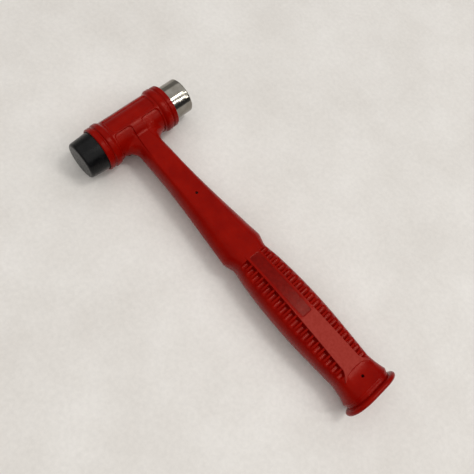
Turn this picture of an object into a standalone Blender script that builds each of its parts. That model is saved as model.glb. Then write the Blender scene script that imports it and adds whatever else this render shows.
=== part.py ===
"""Dead blow mallet with one steel tip and one soft tip, lying on its side.

+X runs along the handle from the head to the butt, +Y along the head from the soft tip
to the steel tip, and +Z is up. The mallet rests level on its two collars and on the
bead around the butt. The origin is under the middle of the overall length.
"""

import math

import bmesh
import bpy
from mathutils import Matrix, Vector

MM = 0.001
GAP = 0.3 * MM  # kept between touching pieces

# Overall size
OVERALL_LENGTH = 325 * MM
COLLAR_RADIUS = 20.5 * MM
HEAD_X = -OVERALL_LENGTH / 2 + COLLAR_RADIUS
BUTT_X = OVERALL_LENGTH / 2
AXIS_Z = COLLAR_RADIUS
HANDLE_LENGTH = BUTT_X - HEAD_X  # from the head's axis to the butt's face

# Head sleeve, turned about Y
SLEEVE_HALF = 37.5 * MM
END_RING_RADIUS = 20.0 * MM
END_RING_INNER = 32.9 * MM
GROOVE_RADIUS = 19.2 * MM
COLLAR_OUTER = 31.5 * MM
COLLAR_INNER = 26.8 * MM
BARREL_RADIUS = 18.8 * MM
BARREL_HALF = 24.6 * MM
PANEL_DEPTH = 0.8 * MM
# Recessed panels: start and end along Y, then start and end angle from the top, in degrees
PANELS = ((-22.5 * MM, 22.5 * MM, -43, 10.5), (-23.0 * MM, -5.3 * MM, 18, 52),
          (5.3 * MM, 23.0 * MM, 18, 52))
MOUTH_DEPTH = 1.2 * MM  # the tips sit this deep in the sleeve's ends

# Shot canister
TUBE_HALF = 35.9 * MM
TUBE_RADIUS = 15.0 * MM
TUBE_BORE = 12.4 * MM
PLUG_OUTER = 35.0 * MM
PLUG_LENGTH = 12.5 * MM
PLUG_FLOOR = 2.0 * MM
PLUG_RADIUS = TUBE_BORE - GAP
THREAD_BORE = 7.35 * MM
STUD_RADIUS = 7.0 * MM
STUD_LENGTH = 10.4 * MM

# Tips
TIP_SEAT = 36.6 * MM  # back face of a tip, measured from the handle's middle plane
STEEL_TIP_RADIUS = 16.2 * MM
STEEL_TIP_END = 56.5 * MM
STEEL_CHAMFER = 1.4 * MM
SOFT_TIP_RADIUS = 18.0 * MM
SOFT_TIP_END_RADIUS = 16.9 * MM
SOFT_TIP_END = 55.5 * MM
SOFT_ROUNDING = 2.2 * MM
STUD_FLANGE_RADIUS = 10.5 * MM
STUD_FLANGE_START = 41.0 * MM
STUD_FLANGE_THICKNESS = 3.0 * MM
WASHER_INNER = 7.5 * MM
WASHER_OUTER = 11.8 * MM
WASHER_START = 35.3 * MM
WASHER_THICKNESS = 1.0 * MM

# Shot
SHOT_RADIUS = 3.8 * MM
SHOT_PITCH = 8.0 * MM
SHOT_LAYERS = 4
SHOT_IN_RING = 6

# Handle core
ROD_RADIUS = 6.35 * MM
ROD_END = 292.0 * MM
PIN_HOLE_RADIUS = 1.3 * MM
PIN_HOLES = (86.5 * MM, 286.0 * MM)

# Handle outside, measured from the head's axis
NECK_HALF_WIDTH = 12.5 * MM
NECK_HALF_HEIGHT = 11.8 * MM
ROOT_FILLET = 10.0 * MM
ROOT_FILLET_END = 28.0 * MM
CROWN_FILLET = 8.0 * MM
CROWN_DIP = 0.7 * MM  # the crown's fillet runs in just under the sleeve's surface
SHOULDER = 146.0 * MM
GRIP_START = 158.0 * MM
BAND_STEP = 0.9 * MM
BAND_END = 279.0 * MM
FLARE_END = 297.6 * MM
BEAD_START = 299.8 * MM
BEAD_RADIUS = 2.9 * MM
BUTT_HALF_WIDTH = 25.4 * MM
BUTT_HALF_HEIGHT = COLLAR_RADIUS

# Even counts that aren't multiples of four keep corners off the mould's parting planes
TURNED_SEGMENTS = 48
SLEEVE_SEGMENTS = 62
BORE_SEGMENTS = 50
PIN_HOLE_SEGMENTS = 14
FLANK_POINTS = 7

RED_URETHANE = ((0.42, 0.012, 0.010), 0.45, 0.0)
BLACK_URETHANE = ((0.018, 0.019, 0.020), 0.42, 0.0)
CHROME = ((0.72, 0.70, 0.67), 0.12, 1.0)
BARE_STEEL = ((0.46, 0.46, 0.47), 0.35, 1.0)


def material(name, look):
    colour, roughness, metallic = look
    found = bpy.data.materials.new(name)
    found.use_nodes = True
    shader = found.node_tree.nodes["Principled BSDF"]
    shader.inputs["Base Color"].default_value = (*colour, 1.0)
    shader.inputs["Roughness"].default_value = roughness
    shader.inputs["Metallic"].default_value = metallic
    return found


def piece(name, bm, finish, smooth_angle=30):
    """A new object from a bmesh, smooth except along its sharp edges."""
    mesh = bpy.data.meshes.new(name)
    bmesh.ops.recalc_face_normals(bm, faces=bm.faces)
    bm.to_mesh(mesh)
    bm.free()
    mesh.shade_smooth()
    mesh.set_sharp_from_angle(angle=math.radians(smooth_angle))
    if finish:
        mesh.materials.append(finish)
    found = bpy.data.objects.new(name, mesh)
    bpy.context.scene.collection.objects.link(found)
    return found


def turned(name, outline, finish, side=1, closed=False, segments=TURNED_SEGMENTS):
    """A solid turned about the head's axis from (distance along Y, radius) points."""
    bm = bmesh.new()
    verts = [bm.verts.new((0, side * along, radius)) for along, radius in outline]
    edges = [bm.edges.new(pair) for pair in zip(verts, verts[1:])]
    if closed:
        edges.append(bm.edges.new((verts[-1], verts[0])))
    bmesh.ops.spin(bm, geom=verts + edges, cent=(0, 0, 0), axis=(0, 1, 0),
                   angle=math.tau, steps=segments, use_merge=True)
    bmesh.ops.remove_doubles(bm, verts=bm.verts, dist=1e-7)
    found = piece(name, bm, finish)
    found.location = (HEAD_X, 0, AXIS_Z)
    return found


def arc(centre, radius, start, end, steps):
    """Points on an arc, angles in degrees, in the plane of a turned outline."""
    angles = [math.radians(start + (end - start) * i / steps) for i in range(steps + 1)]
    return [(centre[0] + radius * math.cos(a), centre[1] + radius * math.sin(a)) for a in angles]


def round_bar(name, radius, start, end, segments=32):
    """A round bar along the handle, between two distances from the head's axis."""
    bm = bmesh.new()
    turn = Matrix.Rotation(math.pi / 2, 4, "Y")
    bmesh.ops.create_cone(bm, cap_ends=True, segments=segments, radius1=radius,
                          radius2=radius, depth=end - start, matrix=turn)
    found = piece(name, bm, None)
    found.location = (HEAD_X + (start + end) / 2, 0, AXIS_Z)
    return found


def boolean(target, cutter, operation):
    """Applies a Boolean and removes the second object."""
    bpy.context.view_layer.update()
    modifier = target.modifiers.new(cutter.name, "BOOLEAN")
    modifier.operation = operation
    modifier.object = cutter
    depsgraph = bpy.context.evaluated_depsgraph_get()
    mesh = bpy.data.meshes.new_from_object(target.evaluated_get(depsgraph))
    target.modifiers.clear()
    target.data = mesh
    bpy.data.objects.remove(cutter)


def smoothstep(low, high, value):
    t = min(max((value - low) / (high - low), 0.0), 1.0)
    return t * t * (3 - 2 * t)


def through(points, value):
    """A smooth curve through (position, size) points, by cubic Hermite spans."""
    if value <= points[0][0]:
        return points[0][1]
    for i in range(len(points) - 1):
        (x0, y0), (x1, y1) = points[i], points[i + 1]
        if value <= x1:
            before = points[max(i - 1, 0)]
            after = points[min(i + 2, len(points) - 1)]
            slope0 = (y1 - before[1]) / (x1 - before[0])
            slope1 = (after[1] - y0) / (after[0] - x0)
            width = x1 - x0
            t = (value - x0) / width
            return (y0 * (1 + 2 * t) * (1 - t) ** 2 + slope0 * width * t * (1 - t) ** 2
                    + y1 * t * t * (3 - 2 * t) + slope1 * width * t * t * (t - 1))
    return points[-1][1]


NECK_WIDTHS = [(28, 12.5), (60, 12.9), (95, 15.6), (125, 18.6), (146, 20.5)]
GRIP_WIDTHS = [(158, 17.0), (172, 19.2), (200, 21.2), (228, 21.5), (256, 20.3), (278, 18.9)]
NECK_HEIGHTS = [(28, 11.8), (60, 11.7), (95, 12.4), (125, 13.4), (150, 14.4)]
GRIP_HEIGHTS = [(150, 14.4), (175, 15.8), (205, 16.6), (235, 16.4), (262, 15.4), (280, 14.8)]
BAND_WIDTHS = [(28, 7.0), (60, 8.2), (110, 8.0), (150, 7.2), (190, 7.4), (240, 8.4), (279, 9.2)]


def in_mm(points, distance):
    return through(points, distance / MM) * MM


def bead(distance, size):
    """The rounded bead that closes the butt, bulging out to the given size."""
    middle = (BEAD_START + HANDLE_LENGTH) / 2
    half = (HANDLE_LENGTH - BEAD_START) / 2
    t = min(abs(distance - middle) / half, 1.0)
    return size - BEAD_RADIUS * (1 - math.sqrt(1 - 0.97 * t * t))


def half_width(distance):
    if distance <= ROOT_FILLET_END:
        reach = min(ROOT_FILLET_END - distance, ROOT_FILLET)
        return NECK_HALF_WIDTH + ROOT_FILLET - math.sqrt(ROOT_FILLET**2 - reach**2)
    if distance <= SHOULDER:
        return in_mm(NECK_WIDTHS, distance)
    if distance <= GRIP_START:
        drop = smoothstep(SHOULDER - 2 * MM, GRIP_START, distance)
        return (20.5 - 3.5 * drop) * MM
    if distance <= BAND_END:
        return in_mm(GRIP_WIDTHS, distance)
    if distance <= FLARE_END:
        t = (distance - BAND_END) / (FLARE_END - BAND_END)
        return (18.9 + 3.4 * t * (0.35 + 0.65 * t)) * MM
    if distance < BEAD_START:
        return 21.8 * MM
    return bead(distance, BUTT_HALF_WIDTH)


def half_height(distance):
    barrel = BARREL_RADIUS - CROWN_DIP
    crown_x = math.sqrt((barrel + CROWN_FILLET) ** 2 - (NECK_HALF_HEIGHT + CROWN_FILLET) ** 2)
    crown_start = crown_x * barrel / (barrel + CROWN_FILLET)
    if distance <= crown_x:
        reach = crown_x - max(distance, crown_start)
        return NECK_HALF_HEIGHT + CROWN_FILLET - math.sqrt(CROWN_FILLET**2 - reach**2)
    if distance <= 150 * MM:
        return in_mm(NECK_HEIGHTS, distance)
    if distance <= BAND_END:
        return in_mm(GRIP_HEIGHTS, distance)
    if distance <= FLARE_END:
        t = (distance - BAND_END) / (FLARE_END - BAND_END)
        return (14.8 + 3.4 * t * (0.35 + 0.65 * t)) * MM
    if distance < BEAD_START:
        return 17.6 * MM
    return bead(distance, BUTT_HALF_HEIGHT)


def flank_fullness(distance):
    """Superellipse power of the flanks: nearly a chamfer on the neck, round on the grip."""
    return 1.7 + 0.5 * smoothstep(130 * MM, 165 * MM, distance)


def handle_section(distance):
    """The outline of the handle at a distance from the head's axis, as (y, z) points.

    Each quarter is a rounded flank, then a step up to the flat central band.
    """
    width = half_width(distance)
    height = half_height(distance)
    band = in_mm(BAND_WIDTHS, distance)
    if distance > BAND_END:
        band *= 1 - 0.4 * (distance - BAND_END) / (HANDLE_LENGTH - BAND_END)
    on_grip = smoothstep(GRIP_START - 4 * MM, GRIP_START + 2 * MM, distance)
    off_grip = smoothstep(BAND_END - 2 * MM, BAND_END, distance)
    step = BAND_STEP * on_grip * (1 - off_grip)
    foot = band + 0.3 * MM
    power = 2 / flank_fullness(distance)
    quarter = [(width, 0)]
    for i in range(1, FLANK_POINTS - 1):
        t = math.pi / 2 * i / (FLANK_POINTS - 1)
        quarter.append((foot + (width - foot) * math.cos(t) ** power,
                        (height - step) * math.sin(t) ** power))
    quarter.append((foot, height - step))
    quarter.append((band, height))
    quarter.append((band / 2, height))
    half = quarter + [(0, height)] + [(-y, z) for y, z in reversed(quarter)]
    return half + [(y, -z) for y, z in reversed(half[1:-1])]


def stations():
    """Distances from the head's axis where the handle's outline is drawn."""
    found = [0, 12.6, 14, 16, 18, 19, 20.5, 22.5, 25, 28, 40, 54, 68, 82, 96, 110, 124, 136,
             143, 146, 149, 152, 155, 158, 162, 168, 176, 185, 195, 205, 215, 225, 235, 245,
             255, 265, 272, 277, 279, 284, 289, 293, 296, 297.6, 297.9, 298.5]
    found = [distance * MM for distance in found]
    bead_steps = 8
    span = HANDLE_LENGTH - BEAD_START
    return found + [BEAD_START + span * i / bead_steps for i in range(bead_steps + 1)]


def handle_blank():
    bm = bmesh.new()
    rings = [[bm.verts.new((distance, y, z)) for y, z in handle_section(distance)]
             for distance in stations()]
    for ring, following in zip(rings, rings[1:]):
        for i in range(len(ring)):
            bm.faces.new((ring[i - 1], ring[i], following[i], following[i - 1]))
    bm.faces.new(rings[0])
    bm.faces.new(reversed(rings[-1]))
    found = piece("handle_blank", bm, None)
    found.location = (HEAD_X, 0, AXIS_Z)
    return found


def sleeve_blank():
    half = [(SLEEVE_HALF, END_RING_RADIUS - 0.8 * MM),
            (SLEEVE_HALF - 0.3 * MM, END_RING_RADIUS - 0.2 * MM),
            (SLEEVE_HALF - 0.9 * MM, END_RING_RADIUS), (END_RING_INNER + 0.4 * MM, END_RING_RADIUS),
            (END_RING_INNER, GROOVE_RADIUS), (COLLAR_OUTER, GROOVE_RADIUS),
            (COLLAR_OUTER - 0.5 * MM, COLLAR_RADIUS - 0.2 * MM), (COLLAR_OUTER - 1.1 * MM, COLLAR_RADIUS),
            (COLLAR_INNER + 0.7 * MM, COLLAR_RADIUS), (COLLAR_INNER, COLLAR_RADIUS - 0.4 * MM),
            (BARREL_HALF + 0.7 * MM, BARREL_RADIUS + 0.4 * MM), (BARREL_HALF, BARREL_RADIUS)]
    mirrored = [(-along, radius) for along, radius in reversed(half)]
    outline = [(SLEEVE_HALF, 0)] + half + mirrored + [(-SLEEVE_HALF, 0)]
    return turned("sleeve_blank", outline, None, segments=SLEEVE_SEGMENTS)


def panel_cutter(start_y, end_y, start_angle, end_angle, flipped):
    """A curved slab that recesses one panel; angles from straight up towards the handle."""
    bm = bmesh.new()
    low = BARREL_RADIUS - PANEL_DEPTH
    high = BARREL_RADIUS + 3 * MM
    corners = [(start_y, low), (end_y, low), (end_y, high), (start_y, high)]
    angle = math.radians(start_angle)
    verts = [bm.verts.new((r * math.sin(angle), y, r * math.cos(angle))) for y, r in corners]
    face = bm.faces.new(verts)
    steps = max(3, round((end_angle - start_angle) / 8))
    bmesh.ops.spin(bm, geom=[face, *face.edges, *face.verts], cent=(0, 0, 0),
                   axis=(0, 1, 0), angle=math.radians(end_angle - start_angle), steps=steps)
    if flipped:
        bmesh.ops.scale(bm, vec=(1, 1, -1), verts=bm.verts)
    found = piece("panel_cutter", bm, None)
    found.location = (HEAD_X, 0, AXIS_Z)
    return found


def pin_hole_cutter(distance):
    bm = bmesh.new()
    bmesh.ops.create_cone(bm, cap_ends=True, segments=PIN_HOLE_SEGMENTS, radius1=PIN_HOLE_RADIUS,
                          radius2=PIN_HOLE_RADIUS, depth=2 * COLLAR_RADIUS)
    found = piece("pin_hole_cutter", bm, None)
    found.location = (HEAD_X + distance, 0, AXIS_Z)
    return found


def overmould(finish):
    """The red urethane body: head sleeve, handle, grip and butt in one moulding."""
    body = sleeve_blank()
    boolean(body, handle_blank(), "UNION")
    for flipped in (False, True):
        for start_y, end_y, start_angle, end_angle in PANELS:
            boolean(body, panel_cutter(start_y, end_y, start_angle, end_angle, flipped),
                    "DIFFERENCE")
    channel = round_bar("channel_cutter", ROD_RADIUS + GAP, TUBE_RADIUS - 3 * MM, ROD_END + GAP)
    boolean(body, channel, "DIFFERENCE")
    for distance in PIN_HOLES:
        boolean(body, pin_hole_cutter(distance), "DIFFERENCE")
    bore = [(SLEEVE_HALF + MM, 0), (SLEEVE_HALF + MM, STEEL_TIP_RADIUS + 0.4 * MM),
            (SLEEVE_HALF - MOUTH_DEPTH, STEEL_TIP_RADIUS + 0.4 * MM),
            (SLEEVE_HALF - MOUTH_DEPTH, TUBE_RADIUS + GAP),
            (-SLEEVE_HALF + MOUTH_DEPTH, TUBE_RADIUS + GAP),
            (-SLEEVE_HALF + MOUTH_DEPTH, SOFT_TIP_RADIUS + 0.4 * MM),
            (-SLEEVE_HALF - MM, SOFT_TIP_RADIUS + 0.4 * MM), (-SLEEVE_HALF - MM, 0)]
    boolean(body, turned("bore_cutter", bore, None, segments=BORE_SEGMENTS), "DIFFERENCE")
    body.name = "overmould"
    body.data.name = "overmould"
    body.data.materials.clear()
    body.data.materials.append(finish)
    body.data.shade_smooth()
    body.data.set_sharp_from_angle(angle=math.radians(30))
    return body


def canister_tube(finish):
    outline = [(-TUBE_HALF, TUBE_BORE), (-TUBE_HALF, TUBE_RADIUS - 0.4 * MM),
               (-TUBE_HALF + 0.4 * MM, TUBE_RADIUS), (TUBE_HALF - 0.4 * MM, TUBE_RADIUS),
               (TUBE_HALF, TUBE_RADIUS - 0.4 * MM), (TUBE_HALF, TUBE_BORE)]
    return turned("canister_tube", outline, finish, closed=True)


def canister_plug(name, side, finish):
    """A steel plug that closes one end of the canister and takes a tip's stud."""
    inner = PLUG_OUTER - PLUG_LENGTH
    outline = [(inner, 0), (inner, PLUG_RADIUS - 0.6 * MM), (inner + 0.6 * MM, PLUG_RADIUS),
               (PLUG_OUTER, PLUG_RADIUS), (PLUG_OUTER, THREAD_BORE + 0.5 * MM),
               (PLUG_OUTER - 0.5 * MM, THREAD_BORE), (inner + PLUG_FLOOR, THREAD_BORE),
               (inner + PLUG_FLOOR, 0)]
    return turned(name, outline, finish, side=side)


def seat_washer(name, side, finish):
    end = WASHER_START + WASHER_THICKNESS
    outline = [(WASHER_START, WASHER_INNER), (WASHER_START, WASHER_OUTER),
               (end, WASHER_OUTER), (end, WASHER_INNER)]
    return turned(name, outline, finish, side=side, closed=True)


def stud_outline(root):
    """A stud's half outline from its free end to its root."""
    free = TIP_SEAT - STUD_LENGTH
    return [(free, 0), (free, STUD_RADIUS - 0.8 * MM), (free + 0.8 * MM, STUD_RADIUS),
            (root, STUD_RADIUS)]


def steel_tip(finish):
    """The hardened steel striking tip with its stud, in one piece."""
    shoulder = [(TIP_SEAT, STEEL_TIP_RADIUS - 0.3 * MM), (TIP_SEAT + 0.3 * MM, STEEL_TIP_RADIUS)]
    edge = arc((STEEL_TIP_END - STEEL_CHAMFER, STEEL_TIP_RADIUS - STEEL_CHAMFER),
               STEEL_CHAMFER, 90, 0, 4)
    outline = stud_outline(TIP_SEAT) + shoulder + edge + [(STEEL_TIP_END, 0)]
    return turned("steel_tip", outline, finish, side=1)


def soft_tip(finish):
    """The soft tip, moulded around the flange of its stud."""
    flange_end = STUD_FLANGE_START + STUD_FLANGE_THICKNESS
    neck = STUD_RADIUS + GAP
    pocket = [(flange_end + GAP, 0), (flange_end + GAP, STUD_FLANGE_RADIUS + GAP),
              (STUD_FLANGE_START - GAP, STUD_FLANGE_RADIUS + GAP),
              (STUD_FLANGE_START - GAP, neck), (TIP_SEAT, neck)]
    side = [(TIP_SEAT, SOFT_TIP_RADIUS - 0.3 * MM), (TIP_SEAT + 0.3 * MM, SOFT_TIP_RADIUS)]
    edge = arc((SOFT_TIP_END - SOFT_ROUNDING, SOFT_TIP_END_RADIUS - SOFT_ROUNDING),
               SOFT_ROUNDING, 86, 0, 5)
    return turned("soft_tip", pocket + side + edge + [(SOFT_TIP_END, 0)], finish, side=-1)


def soft_tip_stud(finish):
    flange_end = STUD_FLANGE_START + STUD_FLANGE_THICKNESS
    flange = [(STUD_FLANGE_START, STUD_RADIUS), (STUD_FLANGE_START, STUD_FLANGE_RADIUS),
              (flange_end, STUD_FLANGE_RADIUS), (flange_end, 0)]
    return turned("soft_tip_stud", stud_outline(STUD_FLANGE_START)[:-1] + flange, finish, side=-1)


def handle_core_rod(finish):
    """The steel rod through the handle, saddled to meet the canister tube."""
    rod = round_bar("handle_core_rod", ROD_RADIUS, TUBE_RADIUS - 2 * MM, ROD_END)
    saddle = turned("saddle_cutter", [(-TUBE_RADIUS, 0), (-TUBE_RADIUS, TUBE_RADIUS + GAP),
                                      (TUBE_RADIUS, TUBE_RADIUS + GAP), (TUBE_RADIUS, 0)], None)
    boolean(rod, saddle, "DIFFERENCE")
    rod.data.materials.clear()
    rod.data.materials.append(finish)
    rod.data.shade_smooth()
    rod.data.set_sharp_from_angle(angle=math.radians(30))


def shot_places():
    """Where each ball of the charge lies, from the middle of the canister."""
    for layer in range(SHOT_LAYERS):
        along = (layer - (SHOT_LAYERS - 1) / 2) * SHOT_PITCH
        yield Vector((0, along, 0))
        for i in range(SHOT_IN_RING):
            angle = math.tau * (i + (layer % 2) / 2) / SHOT_IN_RING
            yield Vector((SHOT_PITCH * math.cos(angle), along, SHOT_PITCH * math.sin(angle)))


def shot_charge(finish):
    bm = bmesh.new()
    bmesh.ops.create_uvsphere(bm, u_segments=12, v_segments=7, radius=SHOT_RADIUS)
    first = piece("shot_ball_01", bm, finish, smooth_angle=80)
    mesh = first.data
    bpy.data.objects.remove(first)
    for number, place in enumerate(shot_places(), start=1):
        ball = bpy.data.objects.new(f"shot_ball_{number:02d}", mesh)
        ball.location = Vector((HEAD_X, 0, AXIS_Z)) + place
        bpy.context.scene.collection.objects.link(ball)


def build():
    for found in list(bpy.data.objects):
        bpy.data.objects.remove(found)
    chrome = material("chrome_plate", CHROME)
    steel = material("bare_steel", BARE_STEEL)
    black = material("black_urethane", BLACK_URETHANE)
    overmould(material("red_urethane", RED_URETHANE))
    canister_tube(steel)
    canister_plug("steel_side_plug", 1, steel)
    canister_plug("soft_side_plug", -1, steel)
    seat_washer("steel_side_washer", 1, steel)
    seat_washer("soft_side_washer", -1, steel)
    steel_tip(chrome)
    soft_tip(black)
    soft_tip_stud(steel)
    handle_core_rod(steel)
    shot_charge(steel)


build()
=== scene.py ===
"""Looks of the dead blow mallet: red urethane body, polished steel tip, soft tip and studs.

Lengths in the modelling code are in millimetres, measured from the middle of the head: s runs along
the handle (X), y along the head (Y) and z up. They become metres when a mesh is made.
"""

import math

import bmesh
import bpy
import numpy as np
from mathutils import Euler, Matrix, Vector


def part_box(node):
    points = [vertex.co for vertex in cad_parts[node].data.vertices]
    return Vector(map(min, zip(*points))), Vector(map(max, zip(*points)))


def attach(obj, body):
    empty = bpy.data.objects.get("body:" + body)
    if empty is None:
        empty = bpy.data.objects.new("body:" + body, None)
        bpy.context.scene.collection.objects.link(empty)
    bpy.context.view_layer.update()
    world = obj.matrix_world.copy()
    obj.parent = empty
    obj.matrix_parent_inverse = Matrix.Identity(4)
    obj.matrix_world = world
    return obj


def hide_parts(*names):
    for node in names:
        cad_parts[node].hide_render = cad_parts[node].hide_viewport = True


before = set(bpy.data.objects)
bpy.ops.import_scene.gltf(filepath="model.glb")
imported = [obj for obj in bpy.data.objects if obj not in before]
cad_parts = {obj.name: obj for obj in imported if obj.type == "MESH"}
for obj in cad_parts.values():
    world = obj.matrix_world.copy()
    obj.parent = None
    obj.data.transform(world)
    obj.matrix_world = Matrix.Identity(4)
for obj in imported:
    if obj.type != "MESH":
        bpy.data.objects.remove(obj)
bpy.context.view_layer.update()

MM = 0.001


def node_box(name):
    """Lowest and highest corner of a CAD node, in millimetres."""
    low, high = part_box(name)
    return np.array(low) / MM, np.array(high) / MM


BODY_LOW, BODY_HIGH = node_box("overmould")
STEEL_LOW, STEEL_HIGH = node_box("steel_tip")
SOFT_LOW, SOFT_HIGH = node_box("soft_tip")
TUBE_LOW, TUBE_HIGH = node_box("canister_tube")
ROD_LOW, ROD_HIGH = node_box("handle_core_rod")
HEAD_X = (STEEL_LOW[0] + STEEL_HIGH[0]) / 2
AXIS_Z = (BODY_LOW[2] + BODY_HIGH[2]) / 2
HANDLE_LENGTH = BODY_HIGH[0] - HEAD_X
SLEEVE_HALF = BODY_HIGH[1]

# Head sleeve: its radii, and the stretches of Y in which one radius runs into the next
BARREL_RADIUS = 18.8
END_RING_RADIUS = 20.0
COLLAR_RADIUS = HEAD_X - BODY_LOW[0]
GROOVE_RADIUS = 19.2
BARREL_TO_RING = (24.4, 26.2)
RING_TO_COLLAR = (26.0, 27.3)
COLLAR_TO_GROOVE = (30.7, 31.6)
GROOVE_TO_RING = (32.5, 33.3)
SLEEVE_ROUNDING = 1.0
SLEEVE_STEPS_AROUND = 210
SLEEVE_STEP_ALONG = 0.45

# Recessed panels of the sleeve: middle and half size along Y, then start and end angle from the
# top towards the handle, in degrees, and the corner radius
PANELS = ((0.0, 22.6, -43, 11.5, 2.6), (-14.2, 8.9, 17, 100, 3.0), (14.2, 8.9, 17, 100, 3.0))
PANEL_DEPTH = 0.95
PANEL_WALL = (-0.3, 0.1)

# Hollows of the moulding, around the canister and the rod of the frame
HOLLOW_GAP = 0.3
BORE_RADIUS = (TUBE_HIGH[2] - TUBE_LOW[2]) / 2 + HOLLOW_GAP
MOUTH_DEPTH = 1.2
MOUTH_GAP = 0.4
CHANNEL_RADIUS = (ROD_HIGH[2] - ROD_LOW[2]) / 2 + HOLLOW_GAP
CHANNEL_START = 12.0
CHANNEL_END = ROD_HIGH[0] - HEAD_X + HOLLOW_GAP
PIN_HOLE_RADIUS = 1.3
PIN_HOLES = (86.5, 286.0)

# Tips and studs
TIP_SEAT = -SOFT_HIGH[1]
STEEL_TIP_RADIUS = (STEEL_HIGH[2] - STEEL_LOW[2]) / 2
SOFT_TIP_RADIUS = (SOFT_HIGH[2] - SOFT_LOW[2]) / 2
SOFT_TIP_END_RADIUS = 16.9
STUD_RADIUS = 7.0
STUD_SLACK = 0.02
STUD_FREE_END = STEEL_LOW[1]
STUD_TAPER = 1.0
STUD_TAPER_LENGTH = 1.6
STEEL_STUD_ROOT = TIP_SEAT + 0.4
SOFT_STUD_ROOT = 41.0
THREAD_PITCH = 2.0
THREAD_DEPTH = 0.9

# Handle: half sizes at distances from the head's axis
NECK_WIDTHS = [(28, 12.5), (60, 12.9), (95, 15.6), (125, 18.6), (146, 20.5)]
GRIP_WIDTHS = [(158, 17.0), (172, 19.2), (200, 21.2), (228, 21.5), (256, 20.3), (278, 18.9)]
NECK_HEIGHTS = [(28, 11.8), (60, 11.7), (95, 12.4), (125, 13.4), (150, 14.4)]
GRIP_HEIGHTS = [(150, 14.4), (175, 15.8), (205, 16.6), (235, 16.4), (262, 15.4), (280, 14.8)]
BAND_WIDTHS = [(16, 5.4), (28, 6.8), (60, 8.2), (110, 8.0), (150, 7.2), (190, 7.4), (240, 8.4),
               (270, 9.1)]

# Handle's root, where it grows out of the sleeve: fillets, the blend of its flanks into the panels'
# floor, and the stretches in which the rib, the blend and (by height) both of them run out
ROOT_FILLET = 10.0
ROOT_FILLET_END = 28.0
CROWN_FILLET = 8.0
CROWN_OVERLAP = 0.3
ROOT_BLEND = 4.0
ROOT_OVERLAP = 0.1
ROOT_END = 44.0
RIB_FADE = (26.0, ROOT_END)
BLEND_FADE = (20.0, 26.0)
LOW_FADE = (0.0, 4.0)

# Shoulder between neck and grip: the neck stops growing and then drops to the grip's width
NECK_END = 145.4
SHOULDER_DROP = (144.8, 157.0)
GRIP_START = 158.0

# Flanks: superellipse powers, and the stretch in which the first changes to the second
NECK_POWER = 1.7
POWER_GAIN = 0.5
POWER_CHANGE = (130.0, 165.0)

# Raised band on the grip: its step, its wall on both sides of the edge, the border around its sunk
# middle, its crown, and its end in an arc between two tongues
BAND_STEP = 0.9
BAND_RISE = (152.0, 160.0)
BAND_WALL = (-0.35, 0.4)
BAND_BORDER = 1.3
BAND_SINK = 0.16
BAND_CROWN = 0.12
CROWN_FADE = (270.0, 285.0)
BAND_END = 276.9
ARC_DEPTH = 1.4
ARC_HALF = 9.5
TONGUE_SLOPE = 0.72
TONGUE_TIP = 13.9
TONGUE_SPREAD = (271.5, 281.6)

# Cross slots beside the grip's band, with level floors that run out through the flank
SLOT_PITCH = 6.7
FIRST_SLOT = 160.5
SLOT_COUNT = 18
SLOT_HALF = 2.55
SLOT_MARGIN = 0.2
SLOT_REACH = 0.82
SLOT_DEPTH = 3.4

# Blank recess for a label in the grip's band
LABEL_START = 158.0
LABEL_END = 222.0
LABEL_HALF_WIDTH = 5.2
LABEL_CORNER = 2.0
LABEL_DEPTH = 0.14
LABEL_WALL = (-0.25, 0.15)

# Butt: flare, lip, fine step, groove and bead; its flat top gets narrower over BUTT_CHANGE
FLARE_START = 278.0
FLARE_END = 294.9
FLARE_HALF_HEIGHT = 13.95
LIP_HALF_WIDTH = 22.2
LIP_HALF_HEIGHT = 18.05
LIP_STEP = 0.3
FINE_STEP = 0.25
GROOVE_FALL = 0.7
BEAD_START = 299.6
BEAD_ROUNDING = 2.6
BEAD_HALF_WIDTH = 25.4
BEAD_HALF_HEIGHT = (BODY_HIGH[2] - BODY_LOW[2]) / 2
BUTT_NARROWING = 0.3
BUTT_CHANGE = (280.0, 298.0)

# Points in a quarter of the handle's outline
BAND_STEPS = 13
WALL_STEPS = 6
FLANK_STEPS = 15

# Lights and camera, in metres; the camera stands where the photo was taken from
LAMP_COLOUR = (1.0, 0.985, 0.96)
TUBE_AIM = (-0.14, 0.05, 0)
CAMERA_PLACE = (0.0666, -0.1502, 0.4641)
CAMERA_DEGREES = (19.376, -8.519, 48.143)
CAMERA_LENS = 42.5


def smoothstep(low, high, value):
    t = np.clip((value - low) / (high - low), 0.0, 1.0)
    return t * t * (3 - 2 * t)


def through(points, value):
    """A smooth curve through (position, size) points, by cubic Hermite spans."""
    if value <= points[0][0]:
        return points[0][1]
    for i in range(len(points) - 1):
        (x0, y0), (x1, y1) = points[i], points[i + 1]
        if value <= x1:
            before = points[max(i - 1, 0)]
            after = points[min(i + 2, len(points) - 1)]
            slope0 = (y1 - before[1]) / (x1 - before[0])
            slope1 = (after[1] - y0) / (after[0] - x0)
            width = x1 - x0
            t = (value - x0) / width
            return (y0 * (1 + 2 * t) * (1 - t) ** 2 + slope0 * width * t * (1 - t) ** 2
                    + y1 * t * t * (3 - 2 * t) + slope1 * width * t * t * (t - 1))
    return points[-1][1]


def rounded_distance(across, lengthwise, corner):
    """Distance to a rectangle with round corners, below 0 inside, from those to its sides."""
    outside = np.hypot(np.maximum(across + corner, 0), np.maximum(lengthwise + corner, 0))
    inside = np.minimum(np.maximum(across, lengthwise) + corner, 0)
    return outside + inside - corner


def ring_angles(steps):
    return (np.arange(steps) + 0.5) * math.tau / steps


def head_ring(along, radius, angles):
    """Points around the head's axis; the radius is one number or one for each angle."""
    return np.stack([radius * np.sin(angles), np.full_like(angles, along),
                     radius * np.cos(angles)], -1)


def link(obj):
    bpy.context.scene.collection.objects.link(obj)
    return obj


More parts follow.
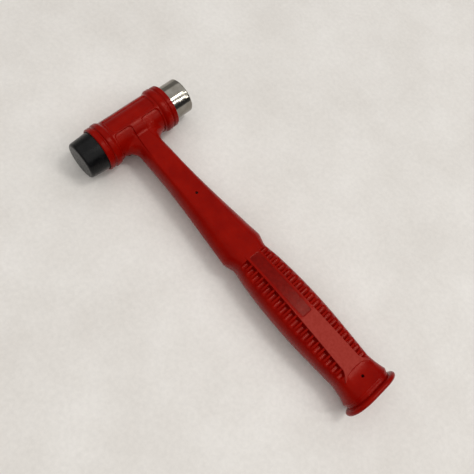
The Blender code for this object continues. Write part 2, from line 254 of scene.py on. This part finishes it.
def mesh_object(name, verts, faces, sharp):
    """A mesh from points in millimetres about the head's middle, with faces facing out."""
    mesh = bpy.data.meshes.new(name)
    points = (np.asarray(verts, float) + (HEAD_X, 0, AXIS_Z)) * MM
    mesh.from_pydata(points.tolist(), [], faces)
    bm = bmesh.new()
    bm.from_mesh(mesh)
    bmesh.ops.remove_doubles(bm, verts=bm.verts, dist=1e-8)
    bmesh.ops.recalc_face_normals(bm, faces=bm.faces)
    bm.to_mesh(mesh)
    bm.free()
    mesh.shade_smooth()
    mesh.set_sharp_from_angle(angle=math.radians(sharp))
    return link(bpy.data.objects.new(name, mesh))


def loft(name, rings, sharp=40):
    """A solid through rings of points, with flat ends; edges above the sharp angle stay sharp."""
    count = len(rings[0])
    verts = np.concatenate(rings)
    faces = []
    for first in range(0, len(verts) - count, count):
        following = first + count
        for i in range(count):
            j = (i + 1) % count
            faces.append((first + i, first + j, following + j, following + i))
    faces.append(tuple(range(count)))
    faces.append(tuple(range(len(verts) - 1, len(verts) - count - 1, -1)))
    return mesh_object(name, verts, faces, sharp)


def turned(name, outline, steps, side=1, sharp=40):
    """A solid turned about the head's axis from (distance along Y, radius) points."""
    angles = np.linspace(0, math.tau, steps, endpoint=False)
    rings = [head_ring(side * along, radius, angles) for along, radius in outline]
    return loft(name, rings, sharp)


def apply_boolean(target, cutter, operation):
    bpy.context.view_layer.update()
    modifier = target.modifiers.new(cutter.name, "BOOLEAN")
    modifier.operation = operation
    modifier.object = cutter
    depsgraph = bpy.context.evaluated_depsgraph_get()
    mesh = bpy.data.meshes.new_from_object(target.evaluated_get(depsgraph))
    target.modifiers.clear()
    target.data = mesh
    bpy.data.objects.remove(cutter)


# ---------------------------------------------------------------- handle


def half_width(s):
    """Half width of the handle: root, neck, shoulder, grip, flare and butt."""
    if s <= ROOT_FILLET_END:
        reach = min(ROOT_FILLET_END - s, ROOT_FILLET)
        return NECK_WIDTHS[0][1] + ROOT_FILLET - math.sqrt(ROOT_FILLET**2 - reach**2)
    if s <= GRIP_START:
        neck = through(NECK_WIDTHS, min(s, NECK_END))
        return neck + (GRIP_WIDTHS[0][1] - neck) * smoothstep(*SHOULDER_DROP, s)
    if s <= FLARE_START:
        return through(GRIP_WIDTHS, s)
    if s <= FLARE_END:
        return flare(s, GRIP_WIDTHS[-1][1], LIP_HALF_WIDTH, 0.35)
    return lip_and_bead(s, LIP_HALF_WIDTH, BEAD_HALF_WIDTH)


def half_height(s):
    """Half height of the handle at the foot of the band; it leaves the sleeve in a fillet."""
    neck = NECK_HEIGHTS[0][1]
    barrel = BARREL_RADIUS - CROWN_OVERLAP
    crown_end = math.sqrt((barrel + CROWN_FILLET) ** 2 - (neck + CROWN_FILLET) ** 2)
    crown_start = crown_end * barrel / (barrel + CROWN_FILLET)
    if s <= crown_end:
        reach = crown_end - max(s, crown_start)
        return neck + CROWN_FILLET - math.sqrt(CROWN_FILLET**2 - reach**2)
    if s <= NECK_HEIGHTS[-1][0]:
        return through(NECK_HEIGHTS, s)
    if s <= FLARE_START:
        return through(GRIP_HEIGHTS, s) - BAND_STEP * smoothstep(*BAND_RISE, s)
    if s <= FLARE_END:
        return flare(s, FLARE_HALF_HEIGHT, LIP_HALF_HEIGHT, 0.3)
    return lip_and_bead(s, LIP_HALF_HEIGHT, BEAD_HALF_HEIGHT)


def flare(s, start, end, slope):
    """Size along the flare, from start to end; slope is its first slope as a share of the mean."""
    t = (s - FLARE_START) / (FLARE_END - FLARE_START)
    return start + (end - start) * t * (slope + (1 - slope) * t)


def lip_and_bead(s, lip, size):
    """The small lip that ends the flare, a second fine step, the sloping groove and the bead."""
    into = min(s, BEAD_START) - FLARE_END
    steps = LIP_STEP * smoothstep(0, 0.5, into) + FINE_STEP * smoothstep(1.7, 2.1, into)
    groove = lip - steps - GROOVE_FALL * into / (BEAD_START - FLARE_END)
    if s < BEAD_START:
        return groove
    middle = (BEAD_START + HANDLE_LENGTH) / 2
    half = (HANDLE_LENGTH - BEAD_START) / 2
    t = min(abs(s - middle) / half, 1.0)
    round_part = math.sqrt(1 - t * t)
    if s < middle:
        return groove + (size - groove) * round_part
    return size - BEAD_ROUNDING * (1 - round_part)


def flank_fullness(s):
    """Superellipse power of the flanks: nearly a chamfer on the neck, round on the grip."""
    return NECK_POWER + POWER_GAIN * smoothstep(*POWER_CHANGE, s)


def flank_height(reach, foot, power):
    """Height of the flank, from foot where it starts (reach 0) to 0 at the side (reach 1)."""
    return foot * np.maximum(1 - reach**power, 0) ** (1 / power)


def root_blend(s, y, height):
    """The skin near the head: a flat rib, with flanks that run smoothly out of the panels' floor."""
    rib = band_half_width(s)
    sunk = PANEL_DEPTH * (1 - smoothstep(*RIB_FADE, s)) * smoothstep(rib - 0.1, rib + 0.4, y)
    height = height - sunk * smoothstep(*LOW_FADE, height)
    floor = math.sqrt(max((BARREL_RADIUS - PANEL_DEPTH) ** 2 - s**2, 0.0))
    near = np.maximum(ROOT_BLEND - np.abs(height - floor), 0) / ROOT_BLEND
    merged = np.maximum(height, floor) + near**2 * ROOT_BLEND / 4 - ROOT_OVERLAP
    apart = (merged - height) * smoothstep(rib, rib + 2, y) * smoothstep(*LOW_FADE, height)
    return height + apart * (1 - smoothstep(*BLEND_FADE, s))


def band_half_width(s):
    """Where the band's wall stands; near its end the band spreads into two pointed tongues."""
    spread = smoothstep(*TONGUE_SPREAD, s) ** 1.25
    return through(BAND_WIDTHS, s) + (TONGUE_TIP - BAND_WIDTHS[-1][1]) * spread


def band_presence(s, y):
    """1 on the raised band and 0 past its end, which is a shallow arc between two tongues."""
    arc = (BAND_END + ARC_DEPTH * np.minimum(y / ARC_HALF, 1) ** 2
           + TONGUE_SLOPE * np.maximum(y - ARC_HALF, 0))
    return smoothstep(*BAND_RISE, s) * (1 - smoothstep(-0.3, 0.3, s - arc))


def slot_height(s, width, flat, foot, power):
    """Height that a slot leaves of the flank: a level floor and steep ends, no limit on a land."""
    number = round((s - FIRST_SLOT) / SLOT_PITCH)
    offset = abs(s - FIRST_SLOT - number * SLOT_PITCH)
    if not 0 <= number < SLOT_COUNT or offset >= SLOT_HALF + SLOT_MARGIN:
        return math.inf
    exit_reach = (SLOT_REACH * width - flat) / (width - flat)
    floor = max(flank_height(exit_reach, foot, power), foot - SLOT_DEPTH)
    return floor + SLOT_DEPTH * (offset / SLOT_HALF) ** 5


def label_relief(s, y):
    """Depth of the shallow rounded recess that a label would fill."""
    lengthwise = np.maximum(LABEL_START - s, s - LABEL_END)
    distance = rounded_distance(np.abs(y) - LABEL_HALF_WIDTH, lengthwise, LABEL_CORNER)
    return LABEL_DEPTH * (1 - smoothstep(*LABEL_WALL, distance))


def handle_section(s):
    """Outline of the handle as (y, z) points: band, wall of the band, flank, and mirrored."""
    width = half_width(s)
    foot = half_height(s)
    flat = through(BAND_WIDTHS, s) * (1 - BUTT_NARROWING * smoothstep(*BUTT_CHANGE, s))
    power = flank_fullness(s)
    edge = band_half_width(s)
    wall = (edge + BAND_WALL[0], edge + BAND_WALL[1])
    steepest = math.acos(((wall[1] - flat) / (width - flat)) ** (power / 2))
    turn = np.linspace(steepest, 0, FLANK_STEPS + 1)
    y = np.concatenate([np.linspace(0, wall[0], BAND_STEPS, endpoint=False),
                        np.linspace(*wall, WALL_STEPS, endpoint=False),
                        flat + (width - flat) * np.cos(turn) ** (2 / power)])
    skin = flank_height(np.clip((y - flat) / (width - flat), 0, 1), foot, power)
    if s < ROOT_END:
        skin = root_blend(s, y, skin)
    outside = np.minimum(skin, slot_height(s, width, flat, foot, power))
    on_band = 1 - smoothstep(*wall, y)
    crown = BAND_CROWN * (1 - np.minimum(y / flat, 1) ** 2) * (1 - smoothstep(*CROWN_FADE, s))
    border = edge - BAND_BORDER
    sunk = BAND_SINK * (1 - smoothstep(border - 0.4, border, y))
    top = skin + crown + (BAND_STEP - sunk) * band_presence(s, y)
    z = outside + on_band * (top - outside) - label_relief(s, y)
    quarter = np.stack([y, z], -1)[::-1]
    upper = np.concatenate([quarter, quarter[-2::-1] * (-1, 1)])
    return np.concatenate([upper, upper[-2:0:-1] * (1, -1)])


def handle_stations():
    """Distances along the handle where its outline is drawn, closer where detail is finer."""
    found = []
    for start, end, step in ((11.0, 29.0, 0.7), (29.0, 142.0, 2.4), (142.0, 157.8, 0.7)):
        found += list(np.arange(start, end - 1e-6, step))
    half_slot = np.array([0, 0.9, 1.4, 1.8, 2.15, 2.4, SLOT_HALF, SLOT_HALF + SLOT_MARGIN])
    slot = np.concatenate([-half_slot[:0:-1], half_slot, [SLOT_PITCH / 2]])
    last_slots = FIRST_SLOT + (SLOT_COUNT - 2) * SLOT_PITCH
    for centre in np.arange(FIRST_SLOT, last_slots - 1, SLOT_PITCH):
        found += list(centre + slot)
    found += list(np.arange(last_slots - SLOT_HALF - SLOT_MARGIN, 284.0, 0.3))
    found += list(np.arange(284.0, FLARE_END - 0.2, 0.8))
    found += list(np.arange(FLARE_END, BEAD_START - 0.1, 0.25))
    bead = (1 - np.cos(np.linspace(0, math.pi, 19))) / 2
    found += list(BEAD_START + (HANDLE_LENGTH - BEAD_START) * bead)
    return found


def handle_blank():
    rings = []
    for s in handle_stations():
        outline = handle_section(s)
        rings.append(np.column_stack([np.full(len(outline), s), outline]))
    return loft("handle_blank", rings)


# ---------------------------------------------------------------- head sleeve


def sleeve_radius(along):
    """Radius of the sleeve without its panels: barrel, end ring, collar, groove and end ring."""
    a = abs(along)
    radius = BARREL_RADIUS
    radius += (END_RING_RADIUS - BARREL_RADIUS) * smoothstep(*BARREL_TO_RING, a)
    radius += (COLLAR_RADIUS - END_RING_RADIUS) * smoothstep(*RING_TO_COLLAR, a)
    radius -= (COLLAR_RADIUS - GROOVE_RADIUS) * smoothstep(*COLLAR_TO_GROOVE, a)
    radius += (END_RING_RADIUS - GROOVE_RADIUS) * smoothstep(*GROOVE_TO_RING, a)
    into = max(a - (SLEEVE_HALF - SLEEVE_ROUNDING), 0)
    return radius - (SLEEVE_ROUNDING - math.sqrt(max(SLEEVE_ROUNDING**2 - into**2, 0)))


def panel_relief(along, degrees):
    """Depth of the recessed panels; degrees count from the top towards the handle."""
    depth = np.zeros_like(degrees)
    per_degree = math.radians(1) * BARREL_RADIUS
    for middle, half, start, end, corner in PANELS:
        across = (np.abs(degrees - (start + end) / 2) - (end - start) / 2) * per_degree
        distance = rounded_distance(across, abs(along - middle) - half, corner)
        depth = np.maximum(depth, PANEL_DEPTH * (1 - smoothstep(*PANEL_WALL, distance)))
    return depth


def sleeve_blank():
    """The sleeve as a solid, with the panels on the top and again on the underside."""
    edge = SLEEVE_HALF - SLEEVE_ROUNDING
    middle = np.linspace(-edge, edge, round(2 * edge / SLEEVE_STEP_ALONG))
    rounding = edge + SLEEVE_ROUNDING * np.sin(np.linspace(0.2, 1.45, 6))
    stations = np.concatenate([[-SLEEVE_HALF], -rounding[::-1], middle, rounding, [SLEEVE_HALF]])
    angles = ring_angles(SLEEVE_STEPS_AROUND)
    from_top = (np.degrees(angles) + 180) % 360 - 180
    from_bottom = (360 - np.degrees(angles)) % 360 - 180
    rings = []
    for along in stations:
        relief = panel_relief(along, from_top) + panel_relief(along, from_bottom)
        rings.append(head_ring(along, sleeve_radius(along) - relief, angles))
    return loft("sleeve_blank", rings)


def channel_cutter():
    angles = ring_angles(64)
    across = [CHANNEL_RADIUS * np.sin(angles), CHANNEL_RADIUS * np.cos(angles)]
    return loft("channel", [np.stack([np.full_like(angles, s), *across], -1)
                            for s in (CHANNEL_START, CHANNEL_END)])


def pin_hole_cutter(s):
    angles = ring_angles(32)
    across = [s + PIN_HOLE_RADIUS * np.cos(angles), PIN_HOLE_RADIUS * np.sin(angles)]
    return loft("pin_hole_cutter", [np.stack([*across, np.full_like(angles, z)], -1)
                                    for z in (-30, 30)])


def bore_cutter():
    """The bore through the head, with a wider mouth for the tip at each end."""
    steel_mouth = STEEL_TIP_RADIUS + MOUTH_GAP
    soft_mouth = SOFT_TIP_RADIUS + MOUTH_GAP
    mouth_start = SLEEVE_HALF - MOUTH_DEPTH
    beyond = SLEEVE_HALF + 2
    return turned("bore", [(beyond, steel_mouth), (mouth_start, steel_mouth),
                           (mouth_start, BORE_RADIUS), (-mouth_start, BORE_RADIUS),
                           (-mouth_start, soft_mouth), (-beyond, soft_mouth)], 150)


def overmould():
    """The red urethane body in one mesh, with its bore, rod channel and pin holes."""
    body = sleeve_blank()
    apply_boolean(body, handle_blank(), "UNION")
    apply_boolean(body, channel_cutter(), "DIFFERENCE")
    for s in PIN_HOLES:
        apply_boolean(body, pin_hole_cutter(s), "DIFFERENCE")
    apply_boolean(body, bore_cutter(), "DIFFERENCE")
    body.name = "urethane_body"
    body.data.name = "urethane_body"
    body.data.shade_smooth()
    body.data.set_sharp_from_angle(angle=math.radians(50))
    mark_finishes_and_sheen(body.data)
    return body


def mark_finishes_and_sheen(mesh):
    """Point attributes for the grip's satin inlay with its painted sheen, and for the label's
    recess.
    """
    points = np.empty(len(mesh.vertices) * 3, np.float32)
    mesh.vertices.foreach_get("co", points)
    points = points.reshape(-1, 3) / MM - (HEAD_X, 0, AXIS_Z)
    s, y, height = points[:, 0], np.abs(points[:, 1]), np.abs(points[:, 2])
    on_skin = (height > 11) & (s > 30)
    edges = np.array([band_half_width(value) for value in s])
    inside = 1 - smoothstep(edges - 0.5, edges - 0.1, y)
    # Mask of the satin inlay, which also places the painted sheen in its colour
    satin_and_painted_sheen = inside * band_presence(s, y) * smoothstep(LABEL_END - 1, LABEL_END + 1, s)
    label = label_relief(s, y) / LABEL_DEPTH
    for name, values in (("satin_and_painted_sheen", satin_and_painted_sheen), ("label", label)):
        found = mesh.attributes.new(name, "FLOAT", "POINT")
        found.data.foreach_set("value", np.where(on_skin, values, 0).astype(np.float32))


# ---------------------------------------------------------------- tips and studs


def arc_points(centre, radius, start, end, steps):
    """Points on an arc from one angle to another, in degrees."""
    angles = np.radians(np.linspace(start, end, steps + 1))
    return [(centre[0] + radius * math.cos(a), centre[1] + radius * math.sin(a)) for a in angles]


def steel_tip():
    """A cylinder with a chamfered seat, a rounded rim and a face that is crowned by a hair."""
    end = STEEL_HIGH[1]
    r = STEEL_TIP_RADIUS
    chamfer = 0.35
    rounding = 1.3
    outline = [(TIP_SEAT, STUD_RADIUS - 0.6), (TIP_SEAT, r - chamfer), (TIP_SEAT + chamfer, r)]
    # These rings on the straight side keep its shading even
    outline += [(TIP_SEAT + 1.5, r), (TIP_SEAT + 6, r), (end - 5, r)]
    outline += arc_points((end - rounding, r - rounding), rounding, 90, 12, 8)
    outline += [(end - 0.05, r - 3.0), (end - 0.02, r - 6), (end, r - 9), (end, 2.0)]
    return turned("polished_steel_tip", outline, 192, sharp=35)


def soft_tip():
    """A cylinder that tapers slightly towards its rounded rim and flat face."""
    end = -SOFT_LOW[1]
    r = SOFT_TIP_RADIUS
    chamfer = 0.4
    rounding = 2.3
    outline = [(TIP_SEAT, STUD_RADIUS + 0.3), (TIP_SEAT, r - chamfer), (TIP_SEAT + chamfer, r),
               (TIP_SEAT + 2, r - 0.1)]
    outline += arc_points((end - rounding, SOFT_TIP_END_RADIUS - rounding), rounding, 86, 8, 10)
    outline += [(end, SOFT_TIP_END_RADIUS - 4.5), (end, 3.0)]
    return turned("soft_urethane_tip", outline, 192, side=-1, sharp=35)


def threaded_stud(name, side, root):
    """A stud with a helical thread, from its tapered free end to its root; side is 1 or -1."""
    length = root - STUD_FREE_END
    count = int(length / THREAD_PITCH * 12)
    angles = np.linspace(0, math.tau, 48, endpoint=False)
    rings = []
    for i in range(count + 1):
        along = STUD_FREE_END + length * i / count
        phase = (along / THREAD_PITCH - side * angles / math.tau) % 1.0
        depth = THREAD_DEPTH * np.abs(2 * phase - 1) ** 0.9
        full = smoothstep(0, STUD_TAPER_LENGTH, along - STUD_FREE_END)
        radius = STUD_RADIUS - STUD_SLACK - depth * full - STUD_TAPER * (1 - full)
        rings.append(head_ring(side * along, radius, angles))
    return loft(name, rings, sharp=25)


# ---------------------------------------------------------------- materials
# Noise scales are in features per metre, and bump distances are in metres.


def new_material(name):
    found = bpy.data.materials.new(name)
    found.use_nodes = True
    return found, found.node_tree, found.node_tree.nodes["Principled BSDF"]


def noise(tree, scale, detail, roughness=0.55, stretch=(1, 1, 1)):
    where = tree.nodes.new("ShaderNodeTexCoord")
    mapping = tree.nodes.new("ShaderNodeMapping")
    mapping.inputs["Scale"].default_value = stretch
    texture = tree.nodes.new("ShaderNodeTexNoise")
    texture.inputs["Scale"].default_value = scale
    texture.inputs["Detail"].default_value = detail
    texture.inputs["Roughness"].default_value = roughness
    tree.links.new(where.outputs["Object"], mapping.inputs["Vector"])
    tree.links.new(mapping.outputs["Vector"], texture.inputs["Vector"])
    return texture.outputs["Fac"]


def ramp(tree, source, stops):
    """A colour that follows (position, colour) stops."""
    node = tree.nodes.new("ShaderNodeValToRGB")
    elements = node.color_ramp.elements
    while len(elements) < len(stops):
        elements.new(0.5)
    for element, (position, colour) in zip(elements, stops):
        element.position = position
        element.color = (*colour, 1.0)
    tree.links.new(source, node.inputs["Fac"])
    return node.outputs["Color"]


def mottled(tree, pattern, low, high, span=(0.3, 0.7)):
    """A colour that wanders from low to high as the pattern crosses the span."""
    return ramp(tree, pattern, [(span[0], low), (span[1], high)])


def grey(value):
    return (value, value, value)


def attribute(tree, name):
    node = tree.nodes.new("ShaderNodeAttribute")
    node.attribute_name = name
    return node.outputs["Fac"]


def mix(tree, factor, first, second):
    """Blends two colours by a factor socket; each colour is a socket or a constant."""
    node = tree.nodes.new("ShaderNodeMix")
    node.data_type = "RGBA"
    tree.links.new(factor, node.inputs[0])
    colours = [socket for socket in node.inputs if socket.type == "RGBA"]
    for socket, value in zip(colours, (first, second)):
        if isinstance(value, bpy.types.NodeSocket):
            tree.links.new(value, socket)
        else:
            socket.default_value = (*value, 1.0)
    return [socket for socket in node.outputs if socket.type == "RGBA"][0]


def scale_colour(tree, colour, factor):
    node = tree.nodes.new("ShaderNodeVectorMath")
    node.operation = "MULTIPLY"
    tree.links.new(colour, node.inputs[0])
    tree.links.new(factor, node.inputs[1])
    return node.outputs["Vector"]


def bump(tree, height, strength, distance, under=None):
    """A bumped normal, on top of the one under it if that is given."""
    node = tree.nodes.new("ShaderNodeBump")
    node.inputs["Strength"].default_value = strength
    node.inputs["Distance"].default_value = distance
    tree.links.new(height, node.inputs["Height"])
    if under:
        tree.links.new(under, node.inputs["Normal"])
    return node.outputs["Normal"]


def red_urethane():
    """Moulded red urethane; point attributes mark the label and the satin inlay with its painted
    sheen.
    """
    found, tree, shader = new_material("red_urethane")
    shade = mottled(tree, noise(tree, 60, 4), (0.200, 0.0010, 0.0002), (0.262, 0.0030, 0.0005))
    # The satin inlay's lighter pinkish colour is a painted sheen of the overhead light
    satin_and_painted_sheen = mottled(tree, noise(tree, 500, 5), (0.275, 0.024, 0.017), (0.330, 0.037, 0.028))
    dull = mottled(tree, noise(tree, 300, 5), (0.130, 0.0010, 0.0007), (0.180, 0.0030, 0.0020))
    shade = mix(tree, attribute(tree, "satin_and_painted_sheen"), shade, satin_and_painted_sheen)
    shade = mix(tree, attribute(tree, "label"), shade, dull)
    tree.links.new(shade, shader.inputs["Base Color"])
    rough = mottled(tree, noise(tree, 220, 5), grey(0.16), grey(0.27))
    rough = mix(tree, attribute(tree, "satin_and_painted_sheen"), rough, grey(0.55))
    tree.links.new(rough, shader.inputs["Roughness"])
    shader.inputs["Specular IOR Level"].default_value = 0.12
    shader.inputs["Specular Tint"].default_value = (1.0, 0.42, 0.34, 1)
    uneven = bump(tree, noise(tree, 140, 3), 0.35, 0.00025)
    grain = bump(tree, noise(tree, 1500, 3), 0.5, 0.00008, uneven)
    tree.links.new(grain, shader.inputs["Normal"])
    return found


def black_urethane():
    found, tree, shader = new_material("black_urethane")
    shade = mottled(tree, noise(tree, 160, 5), (0.0020, 0.0021, 0.0024), (0.0060, 0.0060, 0.0064),
                    (0.35, 0.75))
    tree.links.new(shade, shader.inputs["Base Color"])
    rough = mottled(tree, noise(tree, 300, 5), grey(0.20), grey(0.33))
    tree.links.new(rough, shader.inputs["Roughness"])
    shader.inputs["Specular IOR Level"].default_value = 0.17
    grain = bump(tree, noise(tree, 1500, 3), 0.4, 0.00008)
    tree.links.new(grain, shader.inputs["Normal"])
    return found


def polished_steel():
    """Plated steel with fine rings from turning and a faint unevenness."""
    found, tree, shader = new_material("polished_steel")
    shader.inputs["Metallic"].default_value = 1.0
    shade = mottled(tree, noise(tree, 90, 4), (0.21, 0.192, 0.160), (0.34, 0.325, 0.295))
    tree.links.new(shade, shader.inputs["Base Color"])
    rough = mottled(tree, noise(tree, 260, 6, 0.7), grey(0.07), grey(0.17), (0.35, 0.75))
    tree.links.new(rough, shader.inputs["Roughness"])
    rings = bump(tree, noise(tree, 900, 2, 0.5, (0.05, 3.0, 0.05)), 0.15, 0.00003)
    uneven = bump(tree, noise(tree, 150, 4), 0.2, 0.0002, rings)
    tree.links.new(uneven, shader.inputs["Normal"])
    return found


def turned_steel(name, low, high, rough_low, rough_high):
    """Unplated steel with the marks of turning about the head's axis."""
    found, tree, shader = new_material(name)
    shader.inputs["Metallic"].default_value = 1.0
    shade = mottled(tree, noise(tree, 120, 4), low, high)
    tree.links.new(shade, shader.inputs["Base Color"])
    rough = mottled(tree, noise(tree, 400, 5), grey(rough_low), grey(rough_high))
    tree.links.new(rough, shader.inputs["Roughness"])
    marks = bump(tree, noise(tree, 700, 3, 0.6, (1, 8, 1)), 0.3, 0.00005)
    tree.links.new(marks, shader.inputs["Normal"])
    return found


def floor_material():
    """Pale floor: cloudy patches, fine grain and a painted fall-off of light, darker towards +Y."""
    found, tree, shader = new_material("pale_floor")
    patches = mottled(tree, noise(tree, 11, 6, 0.62), (0.755, 0.725, 0.69), (0.835, 0.81, 0.78),
                      (0.35, 0.65))
    grain = mottled(tree, noise(tree, 260, 4, 0.6), grey(0.95), grey(1.03))
    where = tree.nodes.new("ShaderNodeTexCoord")
    parts = tree.nodes.new("ShaderNodeSeparateXYZ")
    tree.links.new(where.outputs["Object"], parts.inputs["Vector"])
    # Painted fall-off of light: the floor's colour darkens slowly towards +Y
    along = tree.nodes.new("ShaderNodeMapRange")
    along.inputs["From Min"].default_value = -0.25
    along.inputs["From Max"].default_value = 0.25
    along.inputs["To Min"].default_value = 1.02
    along.inputs["To Max"].default_value = 0.94
    tree.links.new(parts.outputs["Y"], along.inputs["Value"])
    tone = scale_colour(tree, patches, grain)
    tone = scale_colour(tree, tone, along.outputs["Result"])
    tree.links.new(tone, shader.inputs["Base Color"])
    shader.inputs["Roughness"].default_value = 0.75
    uneven = bump(tree, noise(tree, 180, 5), 0.25, 0.0006)
    tree.links.new(uneven, shader.inputs["Normal"])
    return found


def paint(obj, finish):
    obj.data.materials.clear()
    obj.data.materials.append(finish)


def dress(obj, finish, slot_name, body, *replaced):
    """Gives a piece its material and its body, and hides the nodes it stands for; slot_name is not
    used.
    """
    paint(obj, finish)
    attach(obj, body)
    if replaced:
        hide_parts(*replaced)


# ---------------------------------------------------------------- scene


def area_light(name, place, aim, size, power):
    light = bpy.data.lights.new(name, "AREA")
    light.shape = "RECTANGLE"
    light.size, light.size_y = size
    light.energy = power
    light.color = LAMP_COLOUR
    obj = link(bpy.data.objects.new(name, light))
    obj.location = place
    obj.rotation_euler = (Vector(aim) - Vector(place)).to_track_quat("-Z", "Y").to_euler()


def studio_world():
    """A room with a bright ceiling and walls that darken towards +X, a little lighter below."""
    world = bpy.data.worlds.new("studio")
    world.use_nodes = True
    tree = world.node_tree
    where = tree.nodes.new("ShaderNodeTexCoord")
    parts = tree.nodes.new("ShaderNodeSeparateXYZ")
    tree.links.new(where.outputs["Generated"], parts.inputs["Vector"])
    ceiling = ramp(tree, parts.outputs["Z"], [(0.0, grey(0.3)), (0.12, grey(0.0)),
                                              (0.50, grey(0.0)), (0.62, grey(1.0))])
    side = tree.nodes.new("ShaderNodeMapRange")
    side.interpolation_type = "SMOOTHSTEP"
    side.inputs["From Min"].default_value = -0.4
    side.inputs["From Max"].default_value = 0.75
    tree.links.new(parts.outputs["X"], side.inputs["Value"])
    walls = mix(tree, side.outputs["Result"], (0.36, 0.35, 0.33), grey(0.07))
    shade = mix(tree, ceiling, walls, LAMP_COLOUR)
    background = tree.nodes["Background"]
    tree.links.new(shade, background.inputs["Color"])
    background.inputs["Strength"].default_value = 0.90
    bpy.context.scene.world = world


def photo_camera():
    camera = bpy.data.cameras.new("camera")
    camera.sensor_width = 36
    camera.lens = CAMERA_LENS
    camera.clip_start = 0.01
    obj = link(bpy.data.objects.new("camera", camera))
    obj.location = CAMERA_PLACE
    obj.rotation_euler = Euler([math.radians(angle) for angle in CAMERA_DEGREES])
    bpy.context.scene.camera = obj


def studio():
    bpy.ops.mesh.primitive_grid_add(x_subdivisions=4, y_subdivisions=4, size=6)
    floor = bpy.context.object
    floor.name = "floor"
    floor.data.materials.append(floor_material())
    studio_world()
    area_light("key_light", (0.235, 0.495, 1.44), (0.10, 0, 0), (0.30, 0.30), 3.6)
    area_light("near_tube", (0.485, 0.75, 1.63), TUBE_AIM, (0.03, 1.4), 3.0)
    area_light("far_tube", (1.43, 0.97, 1.63), TUBE_AIM, (0.05, 1.4), 5.5)
    photo_camera()
    bpy.context.scene.view_settings.view_transform = "Standard"


def dress_inside(bare):
    """Steel finishes for the CAD nodes inside the moulding, which are shown as they are."""
    spring = turned_steel("spring_steel", (0.14, 0.135, 0.13), (0.26, 0.25, 0.24), 0.3, 0.5)
    shot = turned_steel("shot_steel", (0.32, 0.32, 0.33), (0.48, 0.48, 0.49), 0.25, 0.42)
    for name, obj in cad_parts.items():
        if name.startswith("shot_ball"):
            paint(obj, shot)
        elif name.endswith("washer"):
            paint(obj, spring)
        elif name in ("canister_tube", "handle_core_rod", "steel_side_plug", "soft_side_plug"):
            paint(obj, bare)


def build():
    studio()
    bare = turned_steel("bare_steel", (0.34, 0.34, 0.35), (0.52, 0.52, 0.53), 0.28, 0.46)
    dress(overmould(), red_urethane(), "red_urethane", "root", "overmould")
    dress(steel_tip(), polished_steel(), "chrome_plate", "steel_tip_turning", "steel_tip")
    dress(threaded_stud("steel_tip_stud", 1, STEEL_STUD_ROOT), bare, "bare_steel",
          "steel_tip_turning")
    dress(soft_tip(), black_urethane(), "black_urethane", "soft_tip_turning", "soft_tip")
    dress(threaded_stud("soft_tip_threaded_stud", -1, SOFT_STUD_ROOT), bare, "bare_steel",
          "soft_tip_turning", "soft_tip_stud")
    dress_inside(bare)


build()
